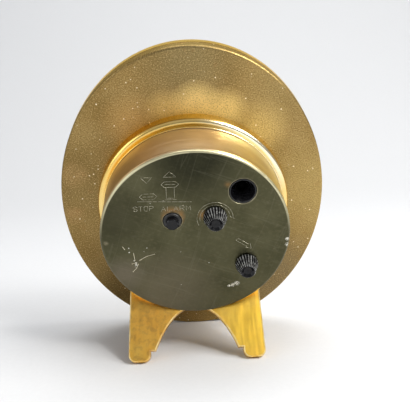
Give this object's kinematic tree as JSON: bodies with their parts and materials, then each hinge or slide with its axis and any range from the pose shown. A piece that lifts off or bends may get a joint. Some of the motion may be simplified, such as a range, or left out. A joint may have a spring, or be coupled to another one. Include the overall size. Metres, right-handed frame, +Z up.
{
  "type": "desk clock",
  "caption": "Upright oval brass desk clock with a round drum behind, knobs and alarm button on the back cap, a date window, and a two-legged bracket that leans it back.",
  "frame": {"origin": "middle of the footprint, on the surface that the clock stands on", "axes": "+Z up, +Y to the rear of the clock, +X to the right seen from the dial"},
  "size_m": [0.093, 0.0596, 0.1078],
  "materials": {
    "gilt_plate": "bead-blasted satin gilt, slightly speckled",
    "gilt_polished": "polished gilt",
    "gilt_drum": "satin gilt, spun round the drum",
    "gilt_legs": "satin gilt, brushed along the legs",
    "bronze_cap": "dark olive brass, worn and scratched",
    "black_gloss": "moulded, glossy",
    "crystal_glass": "clear mineral glass",
    "gasket_black": "matt",
    "dial_cream": "matt lacquer",
    "hand_black": "satin lacquer",
    "alarm_gilt": "polished",
    "marker_gilt": "polished",
    "date_white": "matt lacquer with black numbers",
    "wheel_brass": "milled",
    "plate_brass": "brushed",
    "steel": "turned and blued lightly",
    "plastic_white": "moulded",
    "plastic_dark": "moulded",
    "copper_wire": "fine enamelled winding",
    "magnet": "sintered",
    "cell_jacket": "printed steel can, plain",
    "contact_plate": "nickel plated",
    "board_green": "solder mask",
    "buzzer_case": "moulded"
  },
  "bodies": {
    "case": {"rear_plate": "gilt_plate", "front_bezel": "gilt_polished", "crystal": "crystal_glass", "crystal_gasket": "gasket_black", "reflector_ring": "marker_gilt", "dial": "dial_cream", "hour_markers": "marker_gilt", "collar_ring": "gilt_polished", "drum_shell": "gilt_drum", "rear_cap": "bronze_cap", "button_bush": "plastic_dark", "corrector_cup": "black_gloss", "foot_bracket": "gilt_legs", "bracket_screws": "steel", "main_plate": "plate_brass", "movement_spacer": "plastic_dark", "movement_screws": "steel", "rear_bridge": "plate_brass", "bridge_pillars": "steel", "bridge_screws": "steel", "stator": "steel", "stator_posts": "steel", "motor_coil": "copper_wire", "battery": "cell_jacket", "battery_cradle": "plastic_dark", "battery_plus": "contact_plate", "battery_minus": "contact_plate", "circuit_board": "board_green", "quartz_can": "contact_plate", "clock_chip": "plastic_dark", "alarm_contact": "contact_plate", "buzzer": "buzzer_case"},
    "minute_works": {"cannon_pinion": "wheel_brass", "minute_hand": "hand_black"},
    "hand_setting": {"minute_wheel": "wheel_brass", "hand_setting_knob": "black_gloss"},
    "hour_works": {"hour_wheel": "wheel_brass", "hour_hand": "hand_black"},
    "date_drive": {"date_drive_wheel": "plastic_white"},
    "date_disc": {"date_ring": "date_white"},
    "alarm_works": {"alarm_wheel": "wheel_brass", "alarm_hand": "alarm_gilt"},
    "alarm_transfer": {"alarm_idler": "wheel_brass"},
    "alarm_setting": {"alarm_stem": "steel", "alarm_setting_knob": "black_gloss"},
    "seconds_works": {"seconds_wheel": "plastic_white", "seconds_hand": "hand_black"},
    "third_works": {"third_wheel": "plastic_white"},
    "centre_works": {"centre_wheel": "plastic_white"},
    "intermediate_works": {"intermediate_wheel": "plastic_white"},
    "rotor_works": {"rotor": "magnet"},
    "stop_button": {"stop_alarm_button": "black_gloss"},
    "corrector": {"date_corrector": "black_gloss"}
  },
  "joints": [
    {"name": "minute_turn", "type": "hinge", "parent": "case", "child": "minute_works", "pos_m": [0, -0.00306, 0.05258], "axis": [0, 0.9379, -0.3469], "continuous": true},
    {"name": "setting_turn", "type": "hinge", "parent": "case", "child": "hand_setting", "pos_m": [-0.00644, -0.0005, 0.0595], "axis": [0, 0.9379, -0.3469], "continuous": true},
    {"name": "hour_turn", "type": "hinge", "parent": "case", "child": "hour_works", "pos_m": [0, -0.00306, 0.05258], "axis": [0, 0.9379, -0.3469], "continuous": true},
    {"name": "date_drive_turn", "type": "hinge", "parent": "case", "child": "date_drive", "pos_m": [0.0096, -0.00306, 0.05258], "axis": [0, 0.9379, -0.3469], "continuous": true},
    {"name": "date_disc_turn", "type": "hinge", "parent": "case", "child": "date_disc", "pos_m": [0, -0.00306, 0.05258], "axis": [0, 0.9379, -0.3469], "continuous": true},
    {"name": "alarm_turn", "type": "hinge", "parent": "case", "child": "alarm_works", "pos_m": [0, -0.00306, 0.05258], "axis": [0, 0.9379, -0.3469], "continuous": true},
    {"name": "alarm_transfer_turn", "type": "hinge", "parent": "case", "child": "alarm_transfer", "pos_m": [-0.0106, -0.00553, 0.04589], "axis": [0, 0.9379, -0.3469], "continuous": true},
    {"name": "alarm_setting_turn", "type": "hinge", "parent": "case", "child": "alarm_setting", "pos_m": [-0.0168, -0.00698, 0.04198], "axis": [0, 0.9379, -0.3469], "continuous": true},
    {"name": "rotor_turn", "type": "hinge", "parent": "case", "child": "rotor_works", "pos_m": [0.00635, 0.00086, 0.06318], "axis": [0, 0.9379, -0.3469], "continuous": true},
    {"name": "intermediate_turn", "type": "hinge", "parent": "case", "child": "intermediate_works", "pos_m": [0.0015, -0.00011, 0.06056], "axis": [0, 0.9379, -0.3469], "continuous": true},
    {"name": "seconds_turn", "type": "hinge", "parent": "case", "child": "seconds_works", "pos_m": [0, -0.00306, 0.05258], "axis": [0, 0.9379, -0.3469], "continuous": true},
    {"name": "third_turn", "type": "hinge", "parent": "case", "child": "third_works", "pos_m": [0.00399, -0.00566, 0.04554], "axis": [0, 0.9379, -0.3469], "continuous": true},
    {"name": "centre_turn", "type": "hinge", "parent": "case", "child": "centre_works", "pos_m": [0, -0.00306, 0.05258], "axis": [0, 0.9379, -0.3469], "continuous": true},
    {"name": "stop_button_slide", "type": "slide", "parent": "case", "child": "stop_button", "axis": [0, -0.9379, 0.3469], "range_m": [0, 0.0022]},
    {"name": "corrector_slide", "type": "slide", "parent": "case", "child": "corrector", "axis": [0, -0.9379, 0.3469], "range_m": [0, 0.0015], "stiffness_N_per_m": 200, "springref_m": -0.0005}
  ],
  "couplings": [
    {"joint": "setting_turn", "follows": "minute_turn", "ratio": -0.33333},
    {"joint": "hour_turn", "follows": "minute_turn", "ratio": 0.083333},
    {"joint": "date_drive_turn", "follows": "minute_turn", "ratio": -0.041667},
    {"joint": "alarm_transfer_turn", "follows": "alarm_turn", "ratio": -1.6},
    {"joint": "alarm_setting_turn", "follows": "alarm_turn", "ratio": 3.0769},
    {"joint": "intermediate_turn", "follows": "rotor_turn", "ratio": -0.16667},
    {"joint": "seconds_turn", "follows": "rotor_turn", "ratio": 0.033333},
    {"joint": "third_turn", "follows": "rotor_turn", "ratio": -0.0044444},
    {"joint": "centre_turn", "follows": "rotor_turn", "ratio": 0.00055556}
  ]
}
